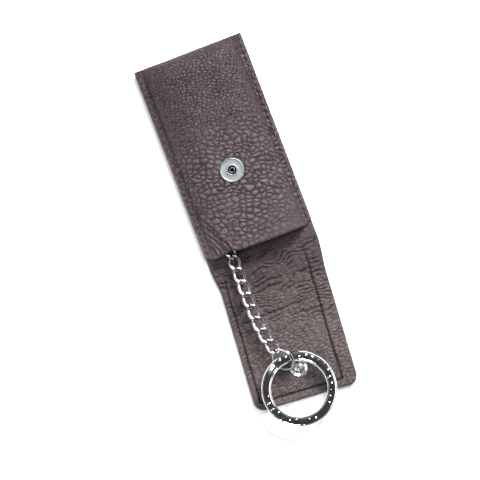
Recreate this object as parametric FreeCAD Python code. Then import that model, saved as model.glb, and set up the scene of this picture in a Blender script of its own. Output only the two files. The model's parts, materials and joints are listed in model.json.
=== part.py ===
"""Leather key case with a snap flap, a chain and a split key ring, lying open on its back.

The origin is on the back face, at the middle of the pouch's mouth. +Y runs to the closed end of the pouch,
the flap lies towards -Y, +X is to the right seen from the front and +Z comes out of the front.
"""
import FreeCAD, Part
import math
import os

V = FreeCAD.Vector
X, Y, Z = V(1, 0, 0), V(0, 1, 0), V(0, 0, 1)

# Driving dimensions of the leatherwork, in millimetres and degrees
case_width = 45.6
pouch_length = 81.0
flap_width = 43.0
flap_length = 65.3
leather = 1.2
lining = 0.8
cavity_depth = 6.6
seam_width = 3.0
swell_flatness = 4.0
swell_roundness = 0.6
swell_points = 15
end_round = 9.0
back_corner_radius = 2.0
flap_corner_radius = 4.0
turned_edge = 4.4
inlay_gap = 0.25
fold_offset = 11.2
fold_width = 13.0
flap_skew = -4.4

# Driving dimensions of the press fastener
stud_margin = 12.4
socket_diameter = 9.8
socket_proud = 0.6
socket_rim_radius = 0.24
spring_recess = 0.12
groove_clearance = 0.08
groove_floor = 0.06
groove_lip = 0.09
stud_flange_diameter = 7.2
stud_flange_height = 0.5
stud_sink = 0.3
stud_boss_diameter = 2.8
stud_boss_height = 0.6
stud_eye_diameter = 0.9
post_diameter = 2.4
post_wall = 0.4
post_flange_diameter = 7.0
post_flange_height = 0.5
cap_diameter = 10.0
cap_height = 0.6
spring_wire = 0.4
spring_slit = 40.0
snap_clearance = 0.25
bore_clearance = 0.05

# Driving dimensions of the stitching
stitch_pitch = 2.8
stitch_length = 2.1
stitch_width = 0.6
stitch_height = 0.35
stitch_chamfer = 0.16
stitch_inset = 1.6
stitch_end_margin = 3.0

# Driving dimensions of the chain and the rings
wire = 1.25
link_length = 7.95
link_width = 5.2
link_twist = 90.0
link_points = 16
link_gap = 0.25
inner_links = 5
outer_links = 6
chain_inset = 10.6
chain_break = 12.1
straight_links = 3
chain_curl = 5.2
ring_heading = 8.0
inner_chain_height = 4.3
outer_chain_height = 7.0
jump_ring_diameter = 10.6
jump_ring_wire = 1.2
ring_slack = 0.2
key_ring_diameter = 30.0
key_ring_band = 3.7
key_ring_turn = 1.05
key_ring_turn_gap = 0.1
key_ring_bridge = 14.0
key_ring_slit = 3.0
tab_width = 5.0
tab_thickness = 1.0
tab_length = 16.0
tab_clearance = 0.65

# Heights and places that follow from them
back_top = leather + lining
front_inside = back_top + cavity_depth
front_under = front_inside + lining
front_top = front_under + leather
flap_top = 2 * leather
lining_top = leather + lining
half_width = case_width / 2
flap_half = flap_width / 2
fold_start = fold_width / 2 - fold_offset
fold_end = -fold_offset - fold_width / 2
stud_seat = lining_top - stud_sink
stud_flange_top = stud_seat + stud_flange_height
snap_gap = socket_proud + max(stud_flange_top - flap_top, 0.0) + snap_clearance
fold_height = (flap_top + front_top + snap_gap) / 2
stud_reach = flap_length - stud_margin
socket_inset = stud_reach - 2 * fold_offset
chain_offset = chain_inset - half_width
link_half = (link_length - wire) / 2
link_radius = (link_width - wire) / 2
link_pitch = 2 * link_half - wire - link_gap
jump_radius = (jump_ring_diameter - jump_ring_wire) / 2
snap_mouth = stud_boss_diameter + 2 * snap_clearance
groove_base = front_top + groove_floor
pick_tolerance = 1e-6


def box(x0, x1, y0, y1, z0, z1):
    return Part.makeBox(x1 - x0, y1 - y0, z1 - z0, V(x0, y0, z0))


def disc(diameter, z0, z1, x=0.0, y=0.0):
    return Part.makeCylinder(diameter / 2, z1 - z0, V(x, y, z0))


def upright_edges(shape, at_y):
    """The vertical edges of a plate that stand at one end of it."""
    return [
        e for e in shape.Edges
        if abs(e.BoundBox.YMax - at_y) < pick_tolerance and abs(e.BoundBox.YMin - at_y) < pick_tolerance
        and e.BoundBox.ZLength > pick_tolerance and e.BoundBox.XLength < pick_tolerance
    ]


def edges_on_top(shape, z):
    """The edges that lie in the top face of a piece."""
    return [e for e in shape.Edges if e.BoundBox.ZMin > z - pick_tolerance]


def rounded_plate(width, y0, y1, z0, z1, radius, end):
    plate = box(-width / 2, width / 2, y0, y1, z0, z1)
    return plate.makeFillet(radius, upright_edges(plate, end))


def with_flap(shape):
    """Turns a piece of the flap by its slight skew about the middle of the fold."""
    turned = shape.copy()
    turned.rotate(V(0, -fold_offset, 0), Z, flap_skew)
    return turned


def on_flap(x, y):
    point = FreeCAD.Rotation(Z, flap_skew).multVec(V(x, y + fold_offset, 0))
    return V(point.x, point.y - fold_offset, 0)


# Pouch
def swell_height(t):
    """Height of the swell as a share of its middle, from 0 in the middle to 1 at the seams."""
    return (1 - min(abs(t), 1.0) ** swell_flatness) ** swell_roundness


def pillow(inset, top, y1):
    """The swell of the pouch front between the seams, drawn in by inset and rounded down at the closed end."""
    foot = half_width - seam_width - inset
    rise = top - back_top
    shares = [math.sin(math.radians(180 * i / (swell_points - 1) - 90)) for i in range(swell_points)]
    crown = Part.BSplineCurve()
    crown.interpolate([V(foot * t, 0, back_top + rise * swell_height(t)) for t in shares])
    base = Part.makeLine(V(foot, 0, back_top), V(-foot, 0, back_top))
    swell = Part.Face(Part.Wire([crown.toShape(), base])).extrude(V(0, y1, 0))
    level = box(-foot, foot, 0, y1 - end_round, back_top, top)
    return swell.common(level.fuse(end_curve(foot, y1 - end_round, rise)))


def end_curve(foot, y0, rise):
    """A bar across the pouch with an oval section, end_round long and as high as the swell."""
    oval = FreeCAD.Matrix()
    oval.scale(1.0, end_round, rise)
    bar = Part.makeCylinder(1.0, 2 * foot, V(-foot, 0, 0), X).transformGeometry(oval)
    bar.translate(V(0, y0, back_top))
    return bar


def back_panel():
    return rounded_plate(case_width, fold_start, pouch_length, 0, leather, back_corner_radius, pouch_length)


def back_lining():
    return rounded_plate(
        case_width, fold_start, pouch_length, leather, back_top, back_corner_radius, pouch_length)


def post_bore(z0, z1):
    return disc(post_diameter + 2 * bore_clearance, z0, z1, 0, socket_inset)


def front_panel():
    swell = pillow(0, front_top, pouch_length)
    seams = rounded_plate(
        case_width, 0, pouch_length, back_top, back_top + leather, back_corner_radius, pouch_length)
    hollow = pillow(leather, front_under, pouch_length - leather)
    return swell.fuse(seams).cut(hollow).cut(post_bore(front_under, front_top)).removeSplitter()


def front_lining():
    skin = pillow(leather, front_under, pouch_length - leather)
    hollow = pillow(back_top, front_inside, pouch_length - back_top)
    return skin.cut(hollow).cut(post_bore(front_inside, front_under))


def seam_stitches(side):
    """A row of raised stitches lying on the seam, one solid each."""
    x = side * (half_width - stitch_inset)
    z = back_top + leather
    room = pouch_length - 2 * stitch_end_margin - stitch_length
    count = int(room / stitch_pitch) + 1
    stitches = []
    for i in range(count):
        y = stitch_end_margin + i * stitch_pitch
        bar = box(x - stitch_width / 2, x + stitch_width / 2, y, y + stitch_length, z, z + stitch_height)
        stitches.append(bar.makeChamfer(stitch_chamfer, edges_on_top(bar, z + stitch_height)))
    return Part.makeCompound(stitches)


# Press fastener
def snap_socket():
    top = front_top + socket_proud
    plate = disc(socket_diameter, front_top, top)
    plate = plate.makeFillet(socket_rim_radius, edges_on_top(plate, top))
    plate = plate.cut(disc(snap_mouth, front_top, top))
    groove_room = snap_mouth + 2 * (spring_recess + spring_wire + groove_clearance)
    shape = plate.cut(disc(groove_room, groove_base, top - groove_lip))
    shape.translate(V(0, socket_inset, 0))
    return shape


def socket_spring():
    """The open ring spring that grips the stud."""
    mean = snap_mouth / 2 + spring_recess + spring_wire / 2
    ring = Part.makeTorus(mean, spring_wire / 2, V(0, 0, 0), Z, -180, 180, 360 - spring_slit)
    ring.translate(V(0, socket_inset, groove_base + spring_wire / 2))
    return ring


def socket_post():
    flange = disc(post_flange_diameter, front_inside - post_flange_height, front_inside)
    tube = disc(post_diameter, front_inside, front_top)
    shape = flange.fuse(tube).cut(disc(post_diameter - 2 * post_wall, front_inside, front_top))
    shape.translate(V(0, socket_inset, 0))
    return shape.removeSplitter()


def snap_stud():
    flange = disc(stud_flange_diameter, stud_seat, stud_flange_top)
    boss = disc(stud_boss_diameter, stud_flange_top, stud_flange_top + stud_boss_height)
    shape = flange.fuse(boss)
    shape = shape.cut(disc(stud_eye_diameter, stud_seat, stud_flange_top + stud_boss_height))
    shape.translate(V(0, -stud_reach, 0))
    return with_flap(shape.removeSplitter())


def stud_cap():
    shape = disc(cap_diameter, 0, cap_height).fuse(disc(post_diameter, cap_height, stud_seat))
    shape.translate(V(0, -stud_reach, 0))
    return with_flap(shape.removeSplitter())


# Fold and flap
def fold_sheet(z0, z1):
    """The strip that bends, a wedge in plan where the flap lies a little askew."""
    near = [V(half_width, fold_start, z0), V(-half_width, fold_start, z0)]
    far = [on_flap(-flap_half, fold_end), on_flap(flap_half, fold_end)]
    corners = near + [V(p.x, p.y, z0) for p in far]
    return Part.Face(Part.makePolygon(corners + corners[:1])).extrude(V(0, 0, z1 - z0))


def flap_panel():
    end = -flap_length
    inside = flap_half - turned_edge
    plate = rounded_plate(flap_width, end, fold_end, 0, flap_top, flap_corner_radius, end)
    inlay = box(-inside, inside, end + turned_edge, fold_end, leather, flap_top)
    cap_seat = disc(cap_diameter + 2 * bore_clearance, 0, cap_height, 0, -stud_reach)
    bore = disc(post_diameter + 2 * bore_clearance, 0, flap_top, 0, -stud_reach)
    return with_flap(plate.cut(inlay).cut(cap_seat).cut(bore))


def flap_lining():
    edge = flap_half - turned_edge - inlay_gap
    sheet = box(-edge, edge, -flap_length + turned_edge + inlay_gap, fold_end, leather, lining_top)
    seat = disc(stud_flange_diameter + 2 * bore_clearance, stud_seat, lining_top, 0, -stud_reach)
    bore = disc(post_diameter + 2 * bore_clearance, leather, lining_top, 0, -stud_reach)
    return with_flap(sheet.cut(seat).cut(bore))


# Chain and rings
def twisted_oval(t):
    """A point of the middle line of a link; its plane turns by link_twist from one end to the other."""
    across, along = link_radius * math.sin(t), -link_half * math.cos(t)
    roll = math.radians(link_twist) / 2 * along / link_half
    return V(across * math.cos(roll), along, across * math.sin(roll))


def curb_link():
    """A closed twisted link, long along Y, made of two alike halves."""
    points = [twisted_oval(2 * math.pi * i / link_points) for i in range(link_points)]
    loop = Part.BSplineCurve()
    loop.interpolate(Points=points, PeriodicFlag=True)
    start = loop.parameter(twisted_oval(0))
    path = loop.toShape(start, loop.parameter(twisted_oval(math.pi)))
    section = Part.Wire([Part.makeCircle(wire / 2, twisted_oval(0), path.tangentAt(start))])
    half = Part.Wire([path]).makePipeShell([section], True, True)
    other = half.copy()
    other.rotate(V(0, 0, 0), Y, 180)
    return half.fuse(other).removeSplitter()


def heading(step):
    """Which way an outer link points, in degrees from -Y towards +X; the chain curls after its straight start."""
    return chain_curl * max(step - straight_links + 1, 0)


def ahead(degrees, distance):
    angle = math.radians(degrees)
    return V(distance * math.sin(angle), -distance * math.cos(angle), 0)


def chain_point(step):
    """Where an outer link hangs on the one before; step 0 is near the fold line."""
    point = V(chain_offset, -chain_break, outer_chain_height)
    for i in range(step):
        point += ahead(heading(i), link_pitch)
    return point


def link_centre(index):
    """Centre of a link, counted from 1 at the tab; the outer ones start near the fold line."""
    if index <= inner_links:
        back = (inner_links - index + 0.5) * link_pitch
        return V(chain_offset, back - chain_break, inner_chain_height)
    step = index - inner_links - 1
    return chain_point(step) + ahead(heading(step), link_pitch / 2)


def link_roll(index):
    """The first link lies flat in the tab's eye, and from the mouth on the links face up."""
    return link_twist / 2 * max(inner_links - index, 0) / (inner_links - 1)


def place(shape, roll, centre, turn):
    shape.rotate(V(0, 0, 0), Y, roll)
    shape.rotate(V(0, 0, 0), Z, turn)
    shape.translate(centre)
    return shape


def chain_link(index):
    turn = heading(index - inner_links - 1) if index > inner_links else 0.0
    return place(curb_link(), link_roll(index), link_centre(index), turn)


def jump_centre():
    reach = jump_radius - (jump_ring_wire + link_gap) / 2
    return chain_point(outer_links) + ahead(heading(outer_links), reach)


def jump_ring():
    ring = Part.makeTorus(jump_radius, jump_ring_wire / 2)
    square = link_roll(inner_links + outer_links) - link_twist / 2
    return place(ring, square, jump_centre(), heading(outer_links))


def ring_turn(z0, z1, slit_at):
    outer = key_ring_diameter / 2
    turn = disc(2 * outer, z0, z1).cut(disc(2 * (outer - key_ring_band), z0, z1))
    wedge = Part.makeCylinder(outer + key_ring_band, z1 - z0, V(0, 0, z0), Z, key_ring_slit)
    wedge.rotate(V(0, 0, 0), Z, slit_at)
    return turn.cut(wedge)


def key_ring():
    """Two flat turns with a sliver between them, joined where the strip steps from one to the other."""
    outer = key_ring_diameter / 2
    low = key_ring_turn_gap / 2
    upper = ring_turn(low, low + key_ring_turn, 90 + key_ring_bridge)
    lower = ring_turn(-low - key_ring_turn, -low, 90 - key_ring_bridge - key_ring_slit)
    step = Part.makeCylinder(outer, 2 * low, V(0, 0, -low), Z, key_ring_bridge)
    step = step.cut(disc(2 * (outer - key_ring_band), -low, low))
    step.rotate(V(0, 0, 0), Z, 90 - key_ring_bridge / 2)
    ring = upper.multiFuse([lower, step]).removeSplitter()
    ring.rotate(V(0, 0, 0), Z, ring_heading)
    ring.translate(jump_centre() + ahead(ring_heading, outer - key_ring_band / 2 + ring_slack))
    return ring


def chain_tab():
    """A leather strap on the back lining, turned up into an eye round the first link."""
    eye_y = link_centre(1).y + link_half
    hole = wire / 2 + tab_clearance
    outer = hole + tab_thickness
    span = min(tab_width, 2 * link_radius - wire - 2 * tab_clearance)
    x0 = chain_offset - span / 2
    eye = Part.makeCylinder(outer, span, V(x0, eye_y, inner_chain_height), X)
    riser_y = eye_y + hole
    riser = box(x0, x0 + span, riser_y, riser_y + tab_thickness, back_top, inner_chain_height)
    strap = box(
        chain_offset - tab_width / 2, chain_offset + tab_width / 2,
        riser_y, riser_y + tab_length, back_top, back_top + tab_thickness)
    bore = Part.makeCylinder(hole, span, V(x0, eye_y, inner_chain_height), X)
    return eye.multiFuse([riser, strap]).cut(bore).removeSplitter()


nodes = {
    "back_panel": back_panel(),
    "back_lining": back_lining(),
    "front_panel": front_panel(),
    "front_lining": front_lining(),
    "left_seam_stitches": seam_stitches(-1),
    "right_seam_stitches": seam_stitches(1),
    "snap_socket": snap_socket(),
    "socket_spring": socket_spring(),
    "socket_post": socket_post(),
    "fold_leather": fold_sheet(0, leather),
    "fold_lining": fold_sheet(leather, lining_top),
    "flap_panel": flap_panel(),
    "flap_lining": flap_lining(),
    "snap_stud": snap_stud(),
    "stud_cap": stud_cap(),
    "chain_tab": chain_tab(),
    "jump_ring": jump_ring(),
    "key_ring": key_ring(),
}
for number in range(1, inner_links + outer_links + 1):
    nodes[f"chain_link_{number:02d}"] = chain_link(number)

os.makedirs("parts", exist_ok=True)
for name, shape in nodes.items():
    shape.exportStep(f"parts/{name}.step")
    size = shape.BoundBox
    print(f"{name}: {len(shape.Solids)} solids, {shape.Volume:.1f} mm3, valid {shape.isValid()}, "
          f"y {size.YMin:.1f} to {size.YMax:.1f}, z {size.ZMin:.2f} to {size.ZMax:.2f}")

# Joint places
print("fold axis", [0, -fold_offset, fold_height], "turned", flap_skew / 2)
print("tab pivot", list(link_centre(1) + V(0, link_half - (wire + tab_clearance) / 2, 0)))
for number in range(2, inner_links + 1):
    print("pivot", number, list((link_centre(number - 1) + link_centre(number)) * 0.5))
for step in range(outer_links + 1):
    print("pivot", inner_links + 1 + step, [round(c, 4) for c in chain_point(step)])
print("ring pivot", [round(c, 4) for c in jump_centre() + ahead(ring_heading, ring_slack)])
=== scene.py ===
import json
import math

import bmesh
import bpy
import numpy as np
from mathutils import Matrix, Vector


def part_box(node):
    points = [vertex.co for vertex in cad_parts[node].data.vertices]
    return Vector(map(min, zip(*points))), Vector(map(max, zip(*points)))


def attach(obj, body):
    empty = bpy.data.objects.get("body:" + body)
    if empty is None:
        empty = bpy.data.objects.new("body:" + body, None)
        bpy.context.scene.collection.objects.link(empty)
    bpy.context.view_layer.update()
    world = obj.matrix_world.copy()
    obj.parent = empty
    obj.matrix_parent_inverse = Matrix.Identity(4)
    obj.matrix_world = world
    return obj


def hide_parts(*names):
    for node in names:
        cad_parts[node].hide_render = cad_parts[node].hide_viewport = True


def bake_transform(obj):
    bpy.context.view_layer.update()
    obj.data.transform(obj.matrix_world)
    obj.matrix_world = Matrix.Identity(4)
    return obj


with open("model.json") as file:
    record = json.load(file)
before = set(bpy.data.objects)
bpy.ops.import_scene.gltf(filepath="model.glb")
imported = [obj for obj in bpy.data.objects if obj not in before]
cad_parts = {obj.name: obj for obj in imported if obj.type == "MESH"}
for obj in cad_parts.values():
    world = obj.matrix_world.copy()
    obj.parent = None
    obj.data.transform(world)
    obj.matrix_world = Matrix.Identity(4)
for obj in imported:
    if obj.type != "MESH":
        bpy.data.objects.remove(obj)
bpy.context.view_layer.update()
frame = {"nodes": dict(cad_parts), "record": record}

MM = 0.001


# Sizes read from the frame, in millimetres
def low(node):
    return np.array(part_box(node)[0]) / MM


def high(node):
    return np.array(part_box(node)[1]) / MM


def centre_of(node):
    return (low(node) + high(node)) / 2


def radius_of(node):
    return (high(node)[0] - low(node)[0]) / 2


def height_of(node):
    return high(node)[2] - low(node)[2]


def joint(name):
    return next(j for j in frame["record"]["behaviour"]["joints"] if j["name"] == name)


fold = joint("flap_fold")
fold_y = fold["pos_m"][1] / MM
flap_skew = 2 * math.atan2(-fold["axis"][1], -fold["axis"][0])
half_width = high("back_panel")[0]
closed_end = high("back_panel")[1]
fold_start = low("back_panel")[1]
fold_end = 2 * fold_y - fold_start
leather = high("back_panel")[2]
back_top = high("back_lining")[2]
front_top = high("front_panel")[2]
wall = front_top - high("front_lining")[2] + back_top - leather
seam_top = low("left_seam_stitches")[2]
seam_x = centre_of("right_seam_stitches")[0]
flap_top = high("flap_panel")[2]
socket_centre = centre_of("snap_socket")
stud_centre = centre_of("snap_stud")
stud_reach = np.hypot(stud_centre[0], stud_centre[1] - fold_y)
stud_seat = low("snap_stud")[2]

# Sizes of the flap before its skew turns it, in millimetres
flap_length = 65.3
flap_half = 21.5
flap_corner = 4.0
turned_edge = 4.4

# Sizes that only the looks need, in millimetres
turned_end = 3.4
inlay_shift = 1.7
edge_round = 1.1
swell_half = half_width - 3.0
end_round = 9.0
hem_width = 4.2
stitch_pitch = 2.8
disc_gap = 0.02
floor_gap = 0.02
grid_step = 0.3
pebble = 1.9
fine_pebble = 1.15
flap_pebble = 1.1
tab_pebble = 1.6
pebble_height = 0.8
flap_grain_height = 0.6

# Grain on a scale from 0 to 1: the height that lies on the mean face, and the tone of plain leather
mean_height = 0.75
plain_tone = 0.62

# Counts
table_size = 256
lathe_segments = 64

# Noise and grain on arrays of flat leather coordinates
table = np.random.RandomState(7).rand(table_size, table_size, 3)
jitter_x, jitter_y, noise_level = range(3)


def drawn(i, j, channel):
    return table[i % table_size, j % table_size, channel]


def smooth(a, b, x):
    """An eased step from 0 at a to 1 at b."""
    t = np.clip((x - a) / (b - a), 0, 1)
    return t * t * (3 - 2 * t)


def bell(x, width):
    """A bump, 1 at zero, that fades over the width on both sides."""
    return np.exp(-(x / width) ** 2)


def soft_noise(x, y):
    """Smooth noise from -1 to 1, about one feature for each unit; an offset picks another stretch of it."""
    i, j = np.floor(x).astype(int), np.floor(y).astype(int)
    u, v = smooth(0, 1, x - i), smooth(0, 1, y - j)
    near = drawn(i, j, noise_level) * (1 - u) + drawn(i + 1, j, noise_level) * u
    far = drawn(i, j + 1, noise_level) * (1 - u) + drawn(i + 1, j + 1, noise_level) * u
    return 2 * (near * (1 - v) + far * v) - 1


def cells(x, y):
    """Distances to the nearest and second nearest point of a jittered grid."""
    margin, spread, far_off = 0.1, 0.8, 9.0
    i, j = np.floor(x).astype(int), np.floor(y).astype(int)
    first, second = np.full(x.shape, far_off), np.full(x.shape, far_off)
    for di in (-1, 0, 1):
        for dj in (-1, 0, 1):
            a, b = i + di, j + dj
            px = a + margin + spread * drawn(a, b, jitter_x)
            py = b + margin + spread * drawn(a, b, jitter_y)
            d = np.hypot(x - px, y - py)
            second = np.minimum(second, np.maximum(first, d))
            first = np.minimum(first, d)
    return first, second


def grain_and_shade(x, y, size):
    """Pebbled grain: the height of the pebbles and their tone, from 0 in the creases to 1 on the tops; the
    tone is painted shade in the creases and a painted highlight on the tops.
    """
    warp, warp_span, small_cells = 0.4, 1.3, 2.2
    crease_depth, depth_change, depth_span = 0.8, 0.35, 2.2
    dome_rim, crease_from, crease_to = 0.8, 0.02, 0.3
    small_rim_end, small_crease_end = 0.6, 0.35
    small_relief, small_crease, crease_dark = 0.15, 0.25, 0.6
    crease_tone, dome_tone = 0.35, 0.5
    wx = x + warp * size * soft_noise(x / size / warp_span, y / size / warp_span + 9)
    wy = y + warp * size * soft_noise(x / size / warp_span + 5, y / size / warp_span)
    first, second = cells(wx / size, wy / size)
    small_first, small_second = cells(wx / size * small_cells + 31, wy / size * small_cells + 17)
    rim, small_rim = second - first, small_second - small_first
    uneven = soft_noise(x / size / depth_span + 11, y / size / depth_span)
    deep = np.clip(crease_depth + depth_change * uneven, 0, 1)
    dome = 1 - (1 - np.clip(rim / dome_rim, 0, 1)) ** 2
    small_dome = smooth(0, small_rim_end, small_rim)
    crease = deep * (1 - smooth(crease_from, crease_to, rim))
    crease += small_crease * (1 - smooth(0, small_crease_end, small_rim))
    height = 1 - deep * (1 - dome) - small_relief * (1 - small_dome)
    tone = crease_tone + dome_tone * dome + small_relief * small_dome
    return height, tone * (1 - crease_dark * np.clip(crease, 0, 1))


def wrinkle_lines(x, y, pitch):
    """Thin broken creases along x that wander, about one for each pitch, from 0 to 1."""
    line_width, gap_edge, gap_x, gap_pitches = 0.17, 0.35, 4.5, 1.2
    sway, sway_x, sway_y = 0.9, 7.0, 5.0
    waver, waver_x, waver_y = 0.35, 2.5, 3.0
    phase = y / pitch + sway * soft_noise(x / sway_x, y / sway_y)
    phase += waver * soft_noise(x / waver_x + 3, y / waver_y)
    broken = smooth(-gap_edge, gap_edge, soft_noise(x / gap_x + 8, y / pitch / gap_pitches))
    return bell(phase % 1 - 0.5, line_width) * broken


# Meshes
def make_object(name, points, faces, body=None):
    """A smooth mesh object from points in millimetres, which rides a body if one is given."""
    mesh = bpy.data.meshes.new(name)
    mesh.from_pydata([tuple(p) for p in np.asarray(points) * MM], [], faces)
    mesh.validate()
    mesh.polygons.foreach_set("use_smooth", [True] * len(mesh.polygons))
    obj = bpy.data.objects.new(name, mesh)
    bpy.context.scene.collection.objects.link(obj)
    if body:
        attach(obj, body)
    return obj


def drop_loose_points(mesh):
    edit = bmesh.new()
    edit.from_mesh(mesh)
    bmesh.ops.delete(edit, geom=[v for v in edit.verts if not v.link_faces], context="VERTS")
    edit.to_mesh(mesh)
    edit.free()


def sheet_faces(rows, cols, hole):
    """Faces of a closed sheet: top and underside by turns, with walled holes, then the wall of the rim."""
    count = rows * cols
    faces = []
    for r in range(rows - 1):
        for c in range(cols - 1):
            a = r * cols + c
            if hole[r, c]:
                sides = (
                    (-1, 0, a, a + 1), (1, 0, a + cols + 1, a + cols),
                    (0, -1, a + cols, a), (0, 1, a + 1, a + cols + 1))
                for dr, dc, p, q in sides:
                    if not hole[r + dr, c + dc]:
                        faces.append((p, q, q + count, p + count))
                continue
            faces.append((a, a + 1, a + cols + 1, a + cols))
            b = a + count
            faces.append((b, b + cols, b + cols + 1, b + 1))
    rim = [(0, c) for c in range(cols)] + [(r, cols - 1) for r in range(1, rows)]
    rim += [(rows - 1, c) for c in range(cols - 2, -1, -1)] + [(r, 0) for r in range(rows - 2, 0, -1)]
    ids = [r * cols + c for r, c in rim]
    for a, b in zip(ids, ids[1:] + ids[:1]):
        faces.append((b, a, a + count, b + count))
    return faces


def sheet_object(name, top, under, flat, marks, body=None, hole=None):
    """A closed sheet from two grids of points, with its marks as point attributes and a flat layout."""
    layout_unit, under_shift = 100.0, 200.0
    rows, cols = top.shape[:2]
    if hole is None:
        hole = np.zeros((rows - 1, cols - 1), dtype=bool)
    points = np.concatenate([top.reshape(-1, 3), under.reshape(-1, 3)])
    obj = make_object(name, points, sheet_faces(rows, cols, hole), body)
    mesh = obj.data
    for key, values in marks.items():
        both = np.concatenate([values[0].ravel(), values[1].ravel()]).astype(np.float32)
        mesh.attributes.new(key, "FLOAT", "POINT").data.foreach_set("value", both)
    layout = mesh.uv_layers.new(name="UVMap")
    corner = np.zeros(len(mesh.loops), dtype=np.int32)
    mesh.loops.foreach_get("vertex_index", corner)
    plane = np.concatenate([flat.reshape(-1, 2), flat.reshape(-1, 2) + under_shift]) / layout_unit
    layout.data.foreach_set("uv", plane[corner].astype(np.float32).ravel())
    drop_loose_points(mesh)
    return obj


def lathe(name, profile, centre, body):
    """A turned piece from (radius, height) points, which close on themselves."""
    points, faces = [], []
    for r, z in profile:
        for k in range(lathe_segments):
            angle = 2 * math.pi * k / lathe_segments
            x, y = r * math.cos(angle), r * math.sin(angle)
            points.append((centre[0] + x, centre[1] + y, centre[2] + z))
    for i in range(len(profile)):
        here, there = i * lathe_segments, (i + 1) % len(profile) * lathe_segments
        for k in range(lathe_segments):
            n = (k + 1) % lathe_segments
            faces.append((here + k, here + n, there + n, there + k))
    return make_object(name, points, faces, body)


def tube(points, radius, sides=8):
    """Points and faces of a closed tube along a line of points."""
    nearly_along_x = 0.9
    made, faces = [], []
    for i, p in enumerate(points):
        a, b = points[max(i - 1, 0)], points[min(i + 1, len(points) - 1)]
        along = Vector(b) - Vector(a)
        along.normalize()
        helper = Vector((1, 0, 0)) if abs(along.x) < nearly_along_x else Vector((0, 1, 0))
        side = along.cross(helper).normalized()
        other = along.cross(side)
        for k in range(sides):
            angle = 2 * math.pi * k / sides
            made.append(tuple(Vector(p) + radius * (math.cos(angle) * side + math.sin(angle) * other)))
    for i in range(len(points) - 1):
        for k in range(sides):
            n = (k + 1) % sides
            faces.append((i * sides + k, i * sides + n, (i + 1) * sides + n, (i + 1) * sides + k))
    faces.append(tuple(range(sides - 1, -1, -1)))
    faces.append(tuple((len(points) - 1) * sides + k for k in range(sides)))
    return made, faces


# Materials
def new_material(name):
    material = bpy.data.materials.new(name)
    material.use_nodes = True
    tree = material.node_tree
    return material, tree, tree.nodes["Principled BSDF"]


def add_node(tree, kind, **inputs):
    made = tree.nodes.new(kind)
    for key, value in inputs.items():
        made.inputs[key.replace("_", " ")].default_value = value
    return made


def add_maths(tree, operation, a, b):
    made = tree.nodes.new("ShaderNodeMath")
    made.operation = operation
    tree.links.new(a, made.inputs[0])
    tree.links.new(b, made.inputs[1])
    return made.outputs[0]


def mix_colour(tree, factor, a, b):
    """Colour between a and b, each of them a value or another node's output."""
    factor_in, first_in, second_in, colour_out = 0, 6, 7, 2
    made = tree.nodes.new("ShaderNodeMix")
    made.data_type = "RGBA"
    for place, value in ((factor_in, factor), (first_in, a), (second_in, b)):
        if isinstance(value, bpy.types.NodeSocket):
            tree.links.new(value, made.inputs[place])
        else:
            made.inputs[place].default_value = value
    return made.outputs[colour_out]


def ramp(tree, source, lo, hi, out_lo=0.0, out_hi=1.0):
    made = tree.nodes.new("ShaderNodeMapRange")
    for key, value in zip(("From Min", "From Max", "To Min", "To Max"), (lo, hi, out_lo, out_hi)):
        made.inputs[key].default_value = value
    tree.links.new(source, made.inputs["Value"])
    return made.outputs["Result"]


def point_mark(tree, name):
    made = tree.nodes.new("ShaderNodeAttribute")
    made.attribute_name = name
    return made.outputs["Fac"]


def add_bump(tree, shader, height, strength, depth):
    bump = add_node(tree, "ShaderNodeBump", Strength=strength, Distance=depth)
    tree.links.new(height, bump.inputs["Height"])
    tree.links.new(bump.outputs["Normal"], shader.inputs["Normal"])


def leather_material(name, highlight_colour, body_colour, crease_shade_colour, warm_shade_colour):
    """Grained leather: the grain mark colours the creases with painted shade and the pebbles with a painted
    highlight on their tops, and finer pores come from noise.
    """
    pore_depth, pore_strength, pore_range, pore_share = 0.12 * MM, 0.5, (0.35, 0.7), 0.4
    cloud_range, cloud_share = (0.25, 0.75), 0.6
    body_range, top_range = (0.0, 0.55), (0.55, 1.0)
    gloss_range, dull, glossy = (0.1, 0.9), 0.72, 0.5
    material, tree, shader = new_material(name)
    links = tree.links
    place = tree.nodes.new("ShaderNodeTexCoord").outputs["UV"]
    mark = point_mark(tree, "grain_and_shade")
    warm_and_shade = point_mark(tree, "warm_and_shade")
    cloud = add_node(tree, "ShaderNodeTexNoise", Scale=9.0, Detail=4.0, Roughness=0.6)
    pore = add_node(tree, "ShaderNodeTexNoise", Scale=160.0, Detail=3.0, Roughness=0.65)
    hair = add_node(tree, "ShaderNodeTexVoronoi", Scale=140.0)
    for texture in (cloud, pore, hair):
        links.new(place, texture.inputs["Vector"])
    clouded = ramp(tree, cloud.outputs["Fac"], *cloud_range, out_hi=cloud_share)
    body = mix_colour(tree, clouded, body_colour, warm_shade_colour)
    # The warm mark mixes in the warm colour, a redder tone that is also painted shade
    body = mix_colour(tree, warm_and_shade, body, warm_shade_colour)
    # The grain mark paints shade into the creases and a highlight onto the pebble tops
    colour = mix_colour(tree, ramp(tree, mark, *body_range), crease_shade_colour, body)
    wear_and_highlight = mix_colour(tree, warm_and_shade, highlight_colour, body_colour)
    colour = mix_colour(tree, ramp(tree, mark, *top_range), colour, wear_and_highlight)
    pored = ramp(tree, pore.outputs["Fac"], *pore_range, out_hi=pore_share)
    colour = mix_colour(tree, pored, colour, crease_shade_colour)
    links.new(colour, shader.inputs["Base Color"])
    links.new(ramp(tree, mark, *gloss_range, dull, glossy), shader.inputs["Roughness"])
    shader.inputs["Specular IOR Level"].default_value = 0.25
    relief = add_maths(tree, "ADD", pore.outputs["Fac"], hair.outputs["Distance"])
    add_bump(tree, shader, relief, pore_strength, pore_depth)
    return material


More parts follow.
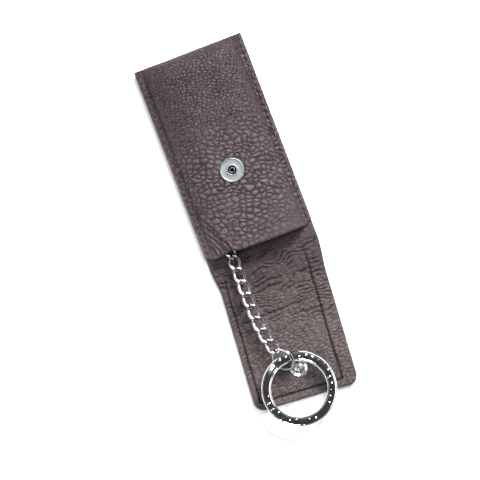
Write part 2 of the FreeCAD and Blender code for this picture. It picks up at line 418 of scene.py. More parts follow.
def metal_material(name, colour, roughness, scratch):
    """Polished nickel with fine rubbed scratches and slightly uneven gloss."""
    scratch_depth, worn_share, haze_range = 0.03 * MM, 0.8, (0.35, 0.75)
    rub_range, smoothest, roughest = (0.3, 0.8), 0.7, 1.6
    material, tree, shader = new_material(name)
    links = tree.links
    place = tree.nodes.new("ShaderNodeTexCoord").outputs["Object"]
    rub = add_node(tree, "ShaderNodeTexNoise", Scale=900.0, Detail=5.0, Roughness=0.7)
    haze = add_node(tree, "ShaderNodeTexNoise", Scale=260.0, Detail=2.0)
    links.new(place, rub.inputs["Vector"])
    links.new(place, haze.inputs["Vector"])
    shader.inputs["Metallic"].default_value = 1.0
    wear_and_highlight = tuple(c * worn_share for c in colour[:3]) + (1.0,)
    hazed = ramp(tree, haze.outputs["Fac"], *haze_range)
    links.new(mix_colour(tree, hazed, colour, wear_and_highlight), shader.inputs["Base Color"])
    gloss = ramp(tree, rub.outputs["Fac"], *rub_range, roughness * smoothest, roughness * roughest)
    links.new(gloss, shader.inputs["Roughness"])
    add_bump(tree, shader, rub.outputs["Fac"], scratch, scratch_depth)
    return material


def thread_material():
    """Dark waxed thread with a lay of fine plies."""
    ply_depth, ply_strength = 0.05 * MM, 0.4
    dark, light = (0.010, 0.008, 0.008, 1), (0.035, 0.026, 0.025, 1)
    material, tree, shader = new_material("waxed_thread")
    place = tree.nodes.new("ShaderNodeTexCoord").outputs["Object"]
    ply = add_node(tree, "ShaderNodeTexWave", Scale=900.0, Distortion=1.5)
    tree.links.new(place, ply.inputs["Vector"])
    tree.links.new(mix_colour(tree, ply.outputs["Fac"], dark, light), shader.inputs["Base Color"])
    shader.inputs["Roughness"].default_value = 0.6
    add_bump(tree, shader, ply.outputs["Fac"], ply_strength, ply_depth)
    return material


# Painted shade for the creases, and painted highlights for the pebble tops
crease_shade = (0.006, 0.004, 0.005, 1)
# The warm colours are a redder tone that is also painted shade
outer_leather = leather_material(
    "outer_leather", highlight_colour=(0.088, 0.067, 0.073, 1), body_colour=(0.042, 0.030, 0.034, 1),
    crease_shade_colour=crease_shade, warm_shade_colour=(0.032, 0.0165, 0.021, 1))
flap_leather = leather_material(
    "flap_leather", highlight_colour=(0.165, 0.134, 0.130, 1), body_colour=(0.074, 0.056, 0.055, 1),
    crease_shade_colour=crease_shade, warm_shade_colour=(0.044, 0.030, 0.031, 1))
nickel = metal_material("polished_nickel", (0.85, 0.85, 0.86, 1), roughness=0.12, scratch=0.2)
# A darker copy of the nickel, painted shade for the chain
shaded_chain_nickel = metal_material("shaded_chain_nickel", (0.42, 0.42, 0.43, 1), roughness=0.14, scratch=0.2)
# A darker copy of the nickel, painted shade for the socket parts
shaded_snap_nickel = metal_material("shaded_snap_nickel", (0.21, 0.23, 0.235, 1), roughness=0.46, scratch=0.35)
stud_nickel = metal_material("stud_nickel", (0.80, 0.82, 0.83, 1), roughness=0.24, scratch=0.3)
# Near black, painted shade in the bore of the eyelet
bore_shade_nickel = metal_material("bore_shade_nickel", (0.008, 0.008, 0.008, 1), roughness=0.6, scratch=0.3)
thread = thread_material()


# Forms that both leather pieces share
def rim_drop(distance, radius):
    """How far a round edge or corner falls away, by the distance in from the rim."""
    t = np.clip(1 - distance / radius, 0, 1)
    return radius * (1 - np.sqrt(np.clip(1 - t * t, 0, 1)))


def line_distance(x, y, a, b):
    """Distance from points to the line through a and b, signed by side, and how far along it, 0 to 1."""
    ax, ay, bx, by = *a, *b
    length = math.hypot(bx - ax, by - ay)
    along = ((x - ax) * (bx - ax) + (y - ay) * (by - ay)) / length ** 2
    side = ((x - ax) * (by - ay) - (y - ay) * (bx - ax)) / length
    return side, along


def press_seat(top, away, level, rise, inner, outer, reach):
    """The face pressed level under a disc, and rising again between the inner and outer distance."""
    ceiling = level - disc_gap + rise * smooth(inner, outer, away)
    return np.where(away < reach, np.minimum(top, ceiling), top)


# Leather of the pouch front
def front_height(x, y):
    """Outer face of the pouch front: low at the seams, swollen between, rounded at the closed end."""
    side_power, side_fall, seam_blend = 4, 0.6, 1.4
    t = np.clip(np.abs(x) / swell_half, 0, 1)
    end = np.clip(1 - (closed_end - y) / end_round, 0, 1)
    rise = (front_top - back_top) * (1 - t ** side_power) ** side_fall * np.sqrt(1 - end ** 2)
    above = rise + back_top - seam_top
    return seam_top + 0.5 * (above + np.sqrt(above ** 2 + seam_blend))


def even_steps(places, heights):
    """Places spaced evenly along a curved section, and their distances along it."""
    run = np.concatenate([[0], np.cumsum(np.hypot(np.diff(places), np.diff(heights)))])
    along = np.linspace(0, run[-1], int(run[-1] / grid_step) + 1)
    return np.interp(along, run, places), along


def pull_wrinkles(x, y):
    """Tension folds that fan from the left seam to where the chain comes out of the mouth."""
    folds = 5
    foot_x, foot_y, head_x, head_y = -11.4, -1.0, -21.6, 22.0
    foot_step_x, foot_step_y, head_step_y = -1.5, 0.45, -3.7
    bow, waver, waver_x, waver_y = 1.3, 0.25, 5.0, 3.0
    fold_depth, depth_step, fold_width = 0.75, 0.05, 0.5
    ridge_height, ridge_away, ridge_width = 0.35, 1.0, 0.6
    begins, fades = (-0.1, 0.12), (0.45, 0.95)
    relief = np.zeros_like(x)
    for i in range(folds):
        foot = (foot_x + foot_step_x * i, foot_y + foot_step_y * i)
        head = (head_x, head_y + head_step_y * i)
        side, along = line_distance(x, y, foot, head)
        side -= bow * np.sin(math.pi * np.clip(along, 0, 1))
        side += waver * soft_noise(y / waver_y + 7 * i, x / waver_x)
        window = smooth(*begins, along) * (1 - smooth(*fades, along))
        relief -= (fold_depth - depth_step * i) * bell(side, fold_width) * window
        relief += ridge_height * bell(side - ridge_away, ridge_width) * window
    return relief


def front_grain(x, y, u, v):
    """Height and tone of the pebbles, which lie across the case and are finer towards the closed end."""
    lean, drawn_out = math.radians(21), 0.72
    finer_from, finer_to, finer_waver, waver_span = 34, 66, 5, 8
    fine_base, fine_relief = 0.3, 0.6
    fine_tone_mean, fine_contrast, grain_tone_mean = 0.53, 1.7, 0.6
    mottle, mottle_span = 0.12, 0.7
    darker, fine_darker, darker_reach = 0.05, 0.06, 16
    along = drawn_out * (u * math.cos(lean) - v * math.sin(lean))
    across = u * math.sin(lean) + v * math.cos(lean)
    height, tone = grain_and_shade(along, across, pebble)
    fine_height, fine_tone = grain_and_shade(along + 60, across, fine_pebble)
    finer = smooth(finer_from, finer_to, y + finer_waver * soft_noise(x / waver_span, y / waver_span))
    height += (fine_base + fine_relief * fine_height - height) * finer
    fine_tone = fine_tone_mean + fine_contrast * (fine_tone - grain_tone_mean)
    tone += (fine_tone - tone) * finer + mottle * soft_noise(u / mottle_span, v / mottle_span)
    # Painted shade: darker towards the right, and more so where the grain is finer towards the closed end
    tone -= (darker + fine_darker * finer) * smooth(0, darker_reach, x)
    return height, tone


def front_calm(x, y, pulled):
    """Share of the grain that is left: less at the right of the mouth and where the leather is pulled."""
    mouth_loss, pulled_loss = 0.6, 0.75
    right_blend, mouth_blend = (-10, 14), (6, 18)
    at_right, at_mouth = smooth(*right_blend, x), 1 - smooth(*mouth_blend, y)
    return (1 - mouth_loss * at_right * at_mouth) * (1 - pulled_loss * pulled)


def front_relief(x, y, height, calm, edge):
    """Height of the grain and of the soft waves, with the hem pressed flatter."""
    hem_fade, hem_loss, waver, waver_span = 1.5, 0.5, 0.3, 4
    wave, wave_span, long_wave, long_span = 0.10, 5.0, 0.14, 13.0
    grain_blend, edge_blend = (0.2, 2.4), (0, 3)
    hem_y = y + waver * soft_noise(x / waver_span, y / waver_span)
    hem = 1 - smooth(hem_width - hem_fade, hem_width, hem_y)
    lift = pebble_height * (height - mean_height) * (1 - hem_loss * hem) * calm * smooth(*grain_blend, edge)
    waves = wave * soft_noise(x / wave_span, y / wave_span)
    waves += long_wave * soft_noise(x / long_span + 3, y / long_span)
    return (lift + waves) * smooth(*edge_blend, edge)


def mouth_curl(x, y):
    """How far the edge of the mouth draws back at the chain and the corners, and hangs out between."""
    kink, kink_x, kink_width = 1.0, -11.8, 2.4
    sag, sag_x, sag_width = 0.5, 8, 14.0
    corner, corner_width, depth = 1.6, 3.5, 9
    drawn_back = kink * bell(x - kink_x, kink_width) - sag * bell(x - sag_x, sag_width)
    drawn_back += corner * smooth(half_width - corner_width, half_width, np.abs(x)) ** 2
    return drawn_back * (1 - smooth(0, depth, y))


def front_tone(x, y, tone, calm, pulled, wrinkles, near_seam):
    """Grain mark of the front: painted shade in the folds and stitch holes, a painted highlight on the fold
    ridges, and painted light on the pulled leather, in the furrow at the foot of the swell and on the
    strips beside the seams.
    """
    pulled_gain, hole_dark, fold_dark, ridge_gain = 0.25, 0.8, 1.4, 0.9
    furrow_gain, furrow_x, furrow_width = 0.25, 2.5, 0.7
    strip_gain, strip_from, strip_to = 0.3, 1.6, 2.6
    from_side = half_width - np.abs(x)
    stitch_turn = 2 * math.pi * (y - low("left_seam_stitches")[1]) / stitch_pitch
    # Painted shade in the stitch holes and the fold grooves, and a painted highlight on the fold ridges
    stitch_holes = near_seam * (0.5 + 0.5 * np.cos(stitch_turn))
    folds = np.clip(1 + fold_dark * np.minimum(wrinkles, 0), 0, 1) + ridge_gain * np.maximum(wrinkles, 0)
    # Painted light on the pulled leather
    plain = plain_tone + pulled_gain * pulled + (tone - plain_tone) * calm
    shade = plain * (1 - hole_dark * stitch_holes) * folds
    # Painted light in the furrow at the foot of the swell and on the strips beside the seams
    shade += furrow_gain * bell(from_side - furrow_x, furrow_width)
    shade += strip_gain * (1 - smooth(strip_from, strip_to, from_side)) * (1 - near_seam)
    return shade


def front_warmth_and_shade(x, y):
    """Warm and shade mark of the front: a redder tone with painted shade, which grows to the closed end and
    to the right.
    """
    right_share, waver, waver_span = 0.3, 6, 9
    end_blend, right_blend = (25, 74), (2, 18)
    to_end = smooth(*end_blend, y + waver * soft_noise(x / waver_span, y / waver_span))
    return np.clip(to_end + right_share * smooth(*right_blend, x), 0, 1)


def build_front():
    """The front of the pouch with its grain, wrinkles, hem and seams, pierced at the fastener."""
    samples = 2000
    seam_width, seam_dent, hem_dent, hem_line = 0.6, 0.06, 0.07, 0.55
    pulled_x, pulled_y, pulled_width, pulled_length = -19, 6, 6, 8
    seat_rise, seat_inner, seat_outer, hole_radius = 0.25, 4.7, 6.0, 1.9
    least_top, least_wall, sewn_strip = 0.4, 0.3, 2.6
    edge_start, rim_share, end_fade, inside_tone = 0.2, 0.9, 3, 0.5
    section = np.linspace(-half_width, half_width, samples)
    length = np.linspace(0, closed_end, samples)
    columns, u = even_steps(section, front_height(section, closed_end / 2))
    rows, v = even_steps(length, front_height(0, length))
    x, y = np.meshgrid(columns, rows)
    u, v = np.meshgrid(u - u[-1] / 2, v)
    from_side = half_width - np.abs(x)
    edge = np.minimum(from_side, y + edge_start)
    near_seam = bell(np.abs(x) - seam_x, seam_width)
    pulled = np.exp(-((x - pulled_x) / pulled_width) ** 2 - ((y - pulled_y) / pulled_length) ** 2)
    calm = front_calm(x, y, pulled)
    height, tone = front_grain(x, y, u, v)
    wrinkles = pull_wrinkles(x, y)
    plain = front_height(x, y)
    top = plain + front_relief(x, y, height, calm, edge) + wrinkles
    pressed_line = hem_dent * bell(y - hem_width, hem_line)
    top -= seam_dent * near_seam * smooth(0, end_fade, y) + pressed_line * smooth(0, end_fade, from_side)
    top -= rim_drop(edge, edge_round) * rim_share
    seat = np.hypot(x - socket_centre[0], y - socket_centre[1])
    top = press_seat(top, seat, front_top, seat_rise, seat_inner, seat_outer, reach=seat_outer)
    top = np.maximum(top, least_top)
    under = np.maximum(plain - wall, back_top)
    under = np.where(np.abs(x) > half_width - sewn_strip, back_top, under)
    under = np.maximum(np.minimum(under, top - least_wall), floor_gap)
    curl = y + mouth_curl(x, y)
    shade = front_tone(x, y, tone, calm, pulled, wrinkles, near_seam)
    warm_and_shade = front_warmth_and_shade(x, y)
    marks = {"grain_and_shade": (shade, np.full_like(shade, inside_tone)), "warm_and_shade": (warm_and_shade, warm_and_shade)}
    pierced = seat[:-1, :-1] < hole_radius
    obj = sheet_object(
        "pouch_front", np.dstack([x, curl, top]), np.dstack([x, curl, under]), np.dstack([u, v]),
        marks, "pouch", pierced)
    obj.data.materials.append(outer_leather)
    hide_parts("front_panel", "front_lining")


# Leather strip of the back, the fold and the flap
def strip_place(x, y):
    """Where a point of the straight strip lies once the flap has turned by its skew."""
    turn = flap_skew * np.clip((fold_start - y) / (fold_start - fold_end), 0, 1)
    dy = y - fold_y
    return x * np.cos(turn) - dy * np.sin(turn), x * np.sin(turn) + dy * np.cos(turn) + fold_y


def strip_half_width(y, start, end):
    """Half the width of the strip, narrower at the flap and round at the corners of both ends."""
    back_corner, edge_inset = 2.0, 0.15
    narrow = rim_drop(y - start, flap_corner) + rim_drop(end - y, back_corner)
    widening = smooth(fold_end, fold_start, y)
    return flap_half + (half_width - edge_inset - flap_half) * widening - narrow


def flap_grain(x, y):
    """Pebble height and tone of the inside, and the wrinkles across it, which are deeper near the fold."""
    wrinkle_pitch, fainter, deeper = 1.7, 0.6, 0.3
    pebble_shear, pebble_squeeze, pebble_slope = 0.35, 0.4, 0.22
    wrinkle_shear, wrinkle_slope = 0.3, 0.08
    sway_width, sway_span = 1.2, 12.0
    fainter_blend, deeper_blend = (-26, -40), (-26, -14)
    sway = sway_width * soft_noise(x / sway_span, y / sway_span)
    along = (x + pebble_shear * y) * pebble_squeeze
    height, tone = grain_and_shade(along, y + sway - pebble_slope * x, flap_pebble)
    creases = wrinkle_lines(x + wrinkle_shear * y, y + sway - wrinkle_slope * x, wrinkle_pitch)
    creases = creases * (1 - fainter * smooth(*fainter_blend, y))
    return height, tone, creases * (1 + deeper * smooth(*deeper_blend, y))


def inlay_bound(x, y, start):
    """Distance in from the rim of the flap, a little uneven; the groove lies where it is turned_edge."""
    waver, waver_span = 0.18, 5
    from_side = flap_half - np.abs(x + inlay_shift)
    from_end = y - start + turned_edge - turned_end
    return np.minimum(from_side, from_end) + waver * soft_noise(x / waver_span, y / waver_span)


def cross_crease(x, y):
    """One longer crease across the flap, which fades towards its right end, from 0 to 1."""
    left, right = (-flap_half + 5, -29.2), (flap_half - 7, -26.6)
    wander, wander_span, width = 0.6, 5.0, 0.4
    begins, fades = (-0.02, 0.1), (0.7, 1.02)
    side, along = line_distance(x, y, left, right)
    side = side + wander * soft_noise(x / wander_span, np.full_like(y, 2))
    return bell(side, width) * smooth(*begins, along) * (1 - smooth(*fades, along))


def flap_waves(x, y):
    """Height of the soft waves that run across the flap."""
    wave, wave_x, wave_y = 0.12, 9.0, 2.6
    long_wave, long_x, long_y = 0.10, 14.0, 7.0
    return wave * soft_noise(x / wave_x, y / wave_y) + long_wave * soft_noise(x / long_x, y / long_y + 4)


def corner_pleats(x, y, start):
    """Height of the pleats where the edge is gathered round the corners of the flap."""
    pleat_height, pleats, margin, gather_blend = 0.22, 9, 1.5, (0.8, 2.2)
    out, up = np.abs(x) - (flap_half - flap_corner), y - start - flap_corner
    at_corner = (np.abs(x) > flap_half - flap_corner - margin) & (y - start < flap_corner + margin)
    gathered = smooth(*gather_blend, np.hypot(out, up)) * at_corner
    return pleat_height * gathered * np.cos(np.arctan2(-up, out) * pleats)


def strip_underside(x, y, top, rim, end, seat):
    """Height and grain mark of the outside, pressed flatter in the fold and round the cap of the stud."""
    squeeze, drawn_in_share, fold_tone_loss, fold_loss = 0.8, 0.9, 0.75, 0.8
    grain_depth, cap_depth, least_wall, rim_radius = 0.14, 0.35, 0.25, 0.9
    lowest, fold_out, fold_in = 0.03, 3, 1
    cap_blend, rim_blend = (4.6, 6.4), (0.2, 1.5)
    # The grain lies closer in the fold, which draws it out as the flap closes
    drawn_in = drawn_in_share * np.clip(fold_start - y, 0, fold_start - fold_end)
    height, tone = grain_and_shade(squeeze * x + 400, y - drawn_in + 90, pebble)
    in_fold = smooth(fold_end - fold_out, fold_end + fold_in, y)
    in_fold = in_fold * (1 - smooth(fold_start - fold_in, fold_start + fold_out, y))
    tone = plain_tone + (tone - plain_tone) * (1 - fold_tone_loss * in_fold)
    pressed = cap_depth * (1 - smooth(*cap_blend, seat))
    hollows = grain_depth * (1 - height) * (1 - fold_loss * in_fold) * smooth(*rim_blend, rim)
    under = lowest + hollows + pressed
    under += rim_drop(np.minimum(rim, end - y), rim_radius)
    return np.clip(under, floor_gap, np.maximum(top - least_wall, floor_gap)), tone


def build_strip():
    """One strip for the back, the fold and the flap, with the inside of the flap on top."""
    back_inset, groove_width, groove_depth, crease_depth = 0.6, 0.34, 0.8, 0.4
    turned_drop, inlay_drop, inlay_rise_from, inlay_rise_to = 0.2, 0.15, 0.2, 0.5
    pebble_share, wrinkle_share, tone_contrast = 0.7, 0.8, 0.5
    fold_dark, line_dark = 0.3, 0.7
    flap_round, back_round, least_top = 1.15, 1.4, 0.35
    seat_inner, seat_outer, seat_reach = 3.4, 6.0, 6.5
    least_warm_shade, fold_warm_shade, rim_blend = 0.04, 0.7, (0.3, 2.0)
    # Stretches along the strip where one look gives way to the next
    flap_blend, level_blend, groove_blend = (-6, 0.5), (-9, -1), (-14, -6)
    dark_blend, warm_shade_blend, back_warm_shade_blend = (-24, -10), (-44, -10), (20, 75)
    start, end = -flap_length, closed_end - back_inset
    cols = int(2 * half_width / grid_step) + 1
    rows = int((end - start) / grid_step) + 1
    u, y = np.meshgrid(np.linspace(-1, 1, cols), np.linspace(start, end, rows))
    half = strip_half_width(y, start, end)
    x = u * half
    rim = np.minimum(half - np.abs(x), y - start)
    on_flap = 1 - smooth(*flap_blend, y)
    height, tone, creases = flap_grain(x, y)
    # Inlaid lining within the turned edge, with the groove between them
    bound = inlay_bound(x, y, start)
    groove = bell(bound - turned_edge, groove_width) * (1 - smooth(*groove_blend, y))
    inlay = smooth(turned_edge - inlay_rise_from, turned_edge + inlay_rise_to, bound)
    flap_level = flap_top - turned_drop - inlay_drop * inlay
    level = back_top + (flap_level - back_top) * (1 - smooth(*level_blend, y))
    lift = pebble_share * (height - mean_height) - wrinkle_share * creases
    lift = flap_grain_height * lift * on_flap * smooth(*rim_blend, rim)
    lift += on_flap * flap_waves(x, y)
    crease = cross_crease(x, y)
    lift -= crease_depth * crease * on_flap
    lift += corner_pleats(x, y, start)
    top = level + lift - groove_depth * groove * on_flap
    top = top - rim_drop(rim, flap_round) - rim_drop(end - y, back_round)
    top = np.maximum(top, least_top)
    seat = np.hypot(x, y - fold_y + stud_reach)
    top = press_seat(top, seat, stud_seat, flap_top - stud_seat, seat_inner, seat_outer, seat_reach)
    under, under_tone = strip_underside(x, y, top, rim, end, seat)
    # Painted shadow of the pouch mouth on the flap near the fold
    tone = (plain_tone + tone_contrast * (tone - plain_tone)) * (1 - fold_dark * smooth(*dark_blend, y))
    # Painted shade in the groove of the turned edge and in the creases
    tone = tone * (1 - groove * on_flap)
    tone = tone * (1 - line_dark * crease * on_flap) * (1 - line_dark * creases * on_flap)
    # A redder tone with painted shade, growing to the fold on the flap and to the closed end on the outside
    warm_and_shade = least_warm_shade + fold_warm_shade * smooth(*warm_shade_blend, y) * on_flap
    marks = {"grain_and_shade": (tone, under_tone), "warm_and_shade": (warm_and_shade, smooth(*back_warm_shade_blend, y))}
    px, py = strip_place(x, y)
    flat = np.dstack([x, y])
    obj = sheet_object("back_and_flap", np.dstack([px, py, top]), np.dstack([px, py, under]), flat, marks)
    obj.data.materials.append(flap_leather)
    obj.data.materials.append(outer_leather)
    # Top and underside faces come by turns, and the wall of the rim after them
    faces = np.arange(len(obj.data.polygons))
    underside = np.where(faces < 2 * (rows - 1) * (cols - 1), faces % 2, 0)
    obj.data.polygons.foreach_set("material_index", underside.astype(np.int32))
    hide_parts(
        "back_panel", "back_lining", "fold_leather", "fold_lining", "flap_panel", "flap_lining")
    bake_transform(obj)


build_front()
build_strip()


# Stitching
def build_seam(name, cad_node, side):
    """One row of stitches, each dipping into its holes at both ends."""
    cad_stitch, stitch, overhang, slant = 2.1, 2.5, 0.2, 0.25
    hole_depth, arch, fullness = 0.3, 0.68, 0.6
    thread_radius, steps = 0.3, 9
    points, faces = [], []
    first, last = low(cad_node)[1], high(cad_node)[1]
    count = int(round((last - first - cad_stitch) / stitch_pitch)) + 1
    for i in range(count):
        begin = first + i * stitch_pitch - overhang
        line = []
        for t in np.linspace(0, 1, steps):
            x = side * seam_x + slant * side * (t - 0.5)
            z = seam_top - hole_depth + arch * math.sin(math.pi * t) ** fullness
            line.append((x, begin + stitch * t, z))
        made, shape = tube(line, thread_radius)
        faces += [tuple(k + len(points) for k in f) for f in shape]
        points += made
    obj = make_object(name, points, faces, "pouch")
    obj.data.materials.append(thread)
    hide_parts(cad_node)


build_seam("left_seam_thread", "left_seam_stitches", -1)
build_seam("right_seam_thread", "right_seam_stitches", 1)


# Press fastener
def build_socket():
    """The disc of the socket: a flat dish between its rim and its eye."""
    r, eye = radius_of("snap_socket"), 1.66
    top = height_of("snap_socket") / 2
    profile = [
        (r - 0.1, -top), (r, -top + 0.12), (r, 0.05), (r - 0.12, top - 0.06), (r - 0.3, top),
        (r - 0.5, top), (r - 0.65, top - 0.08), (r - 0.75, top - 0.09), (2.5, top - 0.09),
        (2.4, top - 0.08), (2.1, top - 0.02), (1.95, top), (1.75, top - 0.05), (eye, top - 0.25),
        (eye, -top),
    ]
    obj = lathe("socket_disc", profile, socket_centre, "pouch")
    obj.data.materials.append(shaded_snap_nickel)
    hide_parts("snap_socket")


def build_stud():
    """The stud: a raised ring, a groove and the post with its bore."""
    r, bore = radius_of("snap_stud"), 0.45
    bottom = low("snap_stud")[2] - stud_centre[2]
    top = high("snap_stud")[2] - stud_centre[2]
    ledge = bottom + 0.5
    profile = [
        (r - 0.1, bottom), (r, bottom + 0.15), (r, ledge - 0.15), (r - 0.2, ledge), (r - 0.6, ledge),
        (r - 0.75, ledge - 0.3), (1.55, ledge - 0.3), (1.38, ledge - 0.15), (1.40, top - 0.18),
        (1.25, top), (0.72, top), (bore, top - 0.3), (bore, bottom),
    ]
    obj = lathe("stud_ring", profile, stud_centre, "flap")
    obj.data.materials.append(stud_nickel)
    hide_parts("snap_stud")


def build_cap():
    """The domed cap on the outside of the flap, with its post."""
    r, height = radius_of("stud_cap"), height_of("stud_cap")
    middle, post, edge = 0.02, 1.2, 0.6
    profile = [
        (middle, 0), (r / 2, 0.03), (r - 1.0, 0.11), (r - 0.4, 0.2), (r - 0.1, 0.32), (r, 0.45),
        (r - 0.1, edge), (post, edge), (post, height), (middle, height),
    ]
    centre = (stud_centre[0], stud_centre[1], low("stud_cap")[2])
    obj = lathe("domed_cap", profile, centre, "flap")
    obj.data.materials.append(stud_nickel)
    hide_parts("stud_cap")


def build_eyelet():
    """The post that holds the socket, with its bore painted near black as the shade of the hole in the
    middle.
    """
    flange, height = radius_of("socket_post"), height_of("socket_post")
    middle, bore, post, base = 0.02, 0.8, 1.2, 0.5
    profile = [
        (flange - 0.1, 0), (flange, 0.1), (flange, 0.4), (flange - 0.1, base), (post, base),
        (post, height - 0.12), (1.08, height), (0.92, height), (bore, height - 0.12),
        (bore, base + 0.05), (middle, base), (middle, 0),
    ]
    centre = (socket_centre[0], socket_centre[1], low("socket_post")[2])
    obj = lathe("socket_eyelet", profile, centre, "pouch")
    obj.data.materials.append(shaded_snap_nickel)
    obj.data.materials.append(bore_shade_nickel)
    # The bore takes the near black material, painted shade for the hole
    in_bore = [int(radius <= bore) for radius, _ in profile for _ in range(lathe_segments)]
    obj.data.polygons.foreach_set("material_index", in_bore)
    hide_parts("socket_post")


build_socket()
build_stud()
build_cap()
build_eyelet()


# Chain tab, a leather loop round the first link
def tab_line():
    """Middle line of the tab in (y, z), its foot and then the loop, and the count of the foot's points."""
    end_inset, loop_inset, loop_from, loop_to, loop_step = 0.2, 0.5, -60, 260, 20
    foot_rise, heel_rise, foot_run, heel_run = 0.55, 0.9, 2.2, 0.6
    eye_y = high("chain_link_01")[1] - height_of("chain_link_01") / 2
    eye_z = centre_of("chain_link_01")[2]
    loop = high("chain_tab")[2] - eye_z - loop_inset
    foot = [
        (high("chain_tab")[1] - end_inset, back_top + foot_rise),
        (eye_y + loop + foot_run, back_top + foot_rise),
        (eye_y + loop + heel_run, back_top + heel_rise),
    ]
    angles = np.radians(np.arange(loop_from, loop_to + 1, loop_step))
    return foot + [(eye_y + loop * math.cos(a), eye_z + loop * math.sin(a)) for a in angles], len(foot)


def build_tab():
    """The loop and its wider foot, bent along the tab's middle line."""
    cols, loop_half, foot_extra, half_thick = 7, 0.88, 1.4, 0.45
    tab_warm_and_shade = 0.5
    middle = centre_of("chain_tab")[0]
    line, foot_points = tab_line()
    top, under, flat = [], [], []
    for i, (y, z) in enumerate(line):
        a, b = np.array(line[max(i - 1, 0)]), np.array(line[min(i + 1, len(line) - 1)])
        t = (b - a) / np.linalg.norm(b - a)
        n = np.array([t[1], -t[0]]) * half_thick
        half = loop_half if i >= foot_points else loop_half + foot_extra
        xs = middle + np.linspace(-half, half, cols)
        top.append([(x, y + n[0], z + n[1]) for x in xs])
        under.append([(x, y - n[0], z - n[1]) for x in xs])
        flat.append([(x, y + z) for x in xs])
    flat = np.array(flat)
    tone = grain_and_shade(flat[..., 0], flat[..., 1], tab_pebble)[1]
    warm_and_shade = np.full_like(tone, tab_warm_and_shade)
    marks = {"grain_and_shade": (tone, tone), "warm_and_shade": (warm_and_shade, warm_and_shade)}
    obj = sheet_object("chain_loop", np.array(top), np.array(under), flat, marks, "pouch")
    obj.data.materials.append(outer_leather)
    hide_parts("chain_tab")


build_tab()


# Key ring, a flat strip wound twice
def build_key_ring():
    """Two turns of a strip with a channel between bright rims, and soft uneven swells along the channel."""
    band, turn_gap, turns, steps = 3.7, 0.06, 2, 720
    begin_after_pivot, taper, taper_run, step_over = 0.32, 0.45, 0.03, 0.06
    channel, channel_half, crown, floor_points = 0.35, 0.7, 0.16, 11
    swells, least_swell, swell_change, swell_power = 31, 0.05, 0.33, 3
    swell_half_width, swell_wander, swell_blend, swell_row = 0.5, 0.7, (0.1, 0.2), 5
    centre, outer = centre_of("key_ring"), radius_of("key_ring")
    height = height_of("key_ring")
    thick = height / 2 - turn_gap
    pivot = np.array(joint("key_ring_lift")["pos_m"]) / MM
    begin = math.atan2(pivot[1] - centre[1], pivot[0] - centre[0]) + begin_after_pivot
    # The section, in half widths of the band and half thicknesses: underside, rim, channel and rim
    under = [(-1, -0.6), (-0.86, -1), (0.86, -1), (1, -0.6), (1, 0.6), (0.9, 1), (0.78, 1)]
    floor = [(across, channel) for across in np.linspace(channel_half, -channel_half, floor_points)]
    section = under + floor + [(-0.78, 1), (-0.9, 1), (-1, 0.6)]
    in_floor = range(len(under), len(under) + len(floor))
    points, faces = [], []
    for i in range(steps + 1):
        turn = i / steps * turns
        angle = begin + turn * 2 * math.pi
        level = (smooth(1 - step_over, 1 + step_over, turn) - 0.5) * (height - thick)
        narrow = 1 - taper * (1 - smooth(0, taper_run, turn))
        narrow -= taper * smooth(turns - taper_run, turns, turn)
        size, shift, _ = table[int(angle * swells / (2 * math.pi) + 0.5) % swells, swell_row]
        crest = (0.5 + 0.5 * math.cos(angle * swells)) ** swell_power
        swell = (least_swell + swell_change * size) * crest
        swell = swell * smooth(*swell_blend, turn % 1)
        middle = swell_wander * (shift - 0.5)
        for k, (across, up) in enumerate(section):
            if k in in_floor:
                across_swell = max(1 - ((across - middle) / swell_half_width) ** 2, 0) ** 2
                up += crown * (1 - (across / channel_half) ** 2) + swell * across_swell
            r = outer - band / 2 + across * band / 2 * narrow
            x, y = r * math.cos(angle), r * math.sin(angle)
            points.append((centre[0] + x, centre[1] + y, centre[2] + level + up * thick / 2))
    n = len(section)
    for i in range(steps):
        for k in range(n):
            m = (k + 1) % n
            faces.append((i * n + k, (i + 1) * n + k, (i + 1) * n + m, i * n + m))
    faces.append(tuple(range(n)))
    faces.append(tuple(steps * n + k for k in range(n - 1, -1, -1)))
    obj = make_object("split_ring", points, faces, "key_ring")
    soft = [k in in_floor[:-1] for k in range(n)]
    obj.data.polygons.foreach_set("use_smooth", soft * steps + [False, False])
    obj.data.materials.append(nickel)
    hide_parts("key_ring")


build_key_ring()


# Finish of the CAD pieces that stay
def dress(name, material):
    """Give a CAD piece one material."""
    mesh = bpy.data.objects[name].data
    mesh.materials.clear()
    mesh.materials.append(material)


# The chain and the jump ring take the darker copy of the nickel, painted shade
for name in frame["nodes"]:
    if name.startswith("chain_link") or name == "jump_ring":
        dress(name, shaded_chain_nickel)
# The socket spring takes the darker copy of the nickel, painted shade
dress("socket_spring", shaded_snap_nickel)


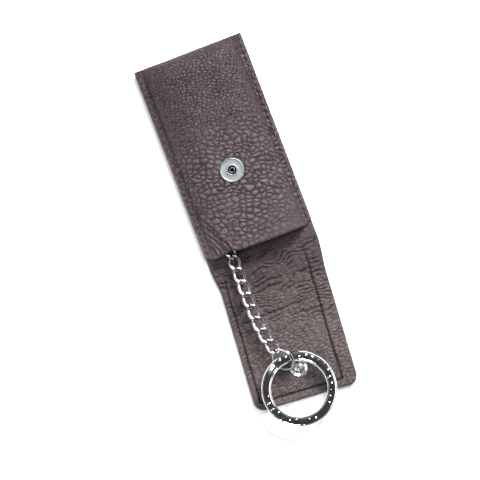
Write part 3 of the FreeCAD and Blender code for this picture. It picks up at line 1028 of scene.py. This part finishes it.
# Floor, light and camera, in metres
def build_floor():
    """Pale floor that keeps the shadow near the object and is plain white further out."""
    size, white_from, white_to = 3.0, 0.15, 0.4
    mesh = bpy.data.meshes.new("floor")
    corners = [(-size, -size, 0), (size, -size, 0), (size, size, 0), (-size, size, 0)]
    mesh.from_pydata(corners, [], [(0, 1, 2, 3)])
    floor = bpy.data.objects.new("floor", mesh)
    bpy.context.scene.collection.objects.link(floor)
    material, tree, shader = new_material("pale_floor")
    shader.inputs["Base Color"].default_value = (0.93, 0.93, 0.93, 1)
    shader.inputs["Roughness"].default_value = 0.9
    rays = tree.nodes.new("ShaderNodeLightPath").outputs
    seen = rays["Is Camera Ray"]
    for kind in ("Is Glossy Ray", "Is Transmission Ray"):
        seen = add_maths(tree, "MAXIMUM", seen, rays[kind])
    place = tree.nodes.new("ShaderNodeTexCoord")
    reach = tree.nodes.new("ShaderNodeVectorMath")
    reach.operation = "LENGTH"
    tree.links.new(place.outputs["Object"], reach.inputs[0])
    share = add_maths(tree, "MULTIPLY", seen, ramp(tree, reach.outputs["Value"], white_from, white_to))
    white = add_node(tree, "ShaderNodeEmission", Color=(1, 1, 1, 1), Strength=1.0)
    blend = tree.nodes.new("ShaderNodeMixShader")
    tree.links.new(share, blend.inputs[0])
    tree.links.new(shader.outputs[0], blend.inputs[1])
    tree.links.new(white.outputs[0], blend.inputs[2])
    tree.links.new(blend.outputs[0], tree.nodes["Material Output"].inputs["Surface"])
    mesh.materials.append(material)


def build_world():
    """White near the horizon and darker overhead, so that polished metal shows both."""
    horizon, overhead, fade_range = (1.0, 1.0, 1.0, 1), (0.04, 0.04, 0.045, 1), (0.12, 0.64)
    world = bpy.data.worlds.new("studio")
    bpy.context.scene.world = world
    world.use_nodes = True
    tree = world.node_tree
    place = tree.nodes.new("ShaderNodeTexCoord")
    split = tree.nodes.new("ShaderNodeSeparateXYZ")
    tree.links.new(place.outputs["Generated"], split.inputs[0])
    fade = ramp(tree, split.outputs["Z"], *fade_range)
    tree.links.new(mix_colour(tree, fade, horizon, overhead), tree.nodes["Background"].inputs["Color"])


def area_light(name, place, size, power):
    """A square lamp that faces the origin."""
    data = bpy.data.lights.new(name, "AREA")
    data.size = size
    data.energy = power
    lamp = bpy.data.objects.new(name, data)
    lamp.location = place
    lamp.rotation_euler = (-Vector(place)).to_track_quat("-Z", "Y").to_euler()
    bpy.context.scene.collection.objects.link(lamp)


def build_camera():
    """Nearly straight down on the front, turned as the case lies in the picture."""
    picture_pixels, focal_pixels = 480.0, 1506.0
    distance, roll = 0.600, math.radians(-20.95)
    aim = Vector((-6.98, 3.61, 5.0)) * MM
    back = Vector((0.0048, 0.0047, 1.0)).normalized()
    right = Vector((0, 1, 0)).cross(back).normalized()
    up = back.cross(right)
    turned = right * math.cos(roll) + up * math.sin(roll)
    data = bpy.data.cameras.new("camera")
    data.sensor_width = 36.0
    data.lens = focal_pixels / picture_pixels * data.sensor_width
    camera = bpy.data.objects.new("camera", data)
    axes = Matrix((turned, back.cross(turned), back)).transposed().to_4x4()
    camera.matrix_world = Matrix.Translation(aim + back * distance) @ axes
    bpy.context.scene.collection.objects.link(camera)
    bpy.context.scene.camera = camera


build_floor()
build_world()
area_light("key_light", (0.32, 0.34, 0.42), size=0.22, power=11.0)
area_light("fill_light", (-0.55, 0.05, 0.42), size=0.6, power=4.0)
area_light("top_light", (0.16, 0.10, 0.60), size=0.12, power=1.5)
build_camera()
bpy.context.scene.view_settings.view_transform = "Standard"
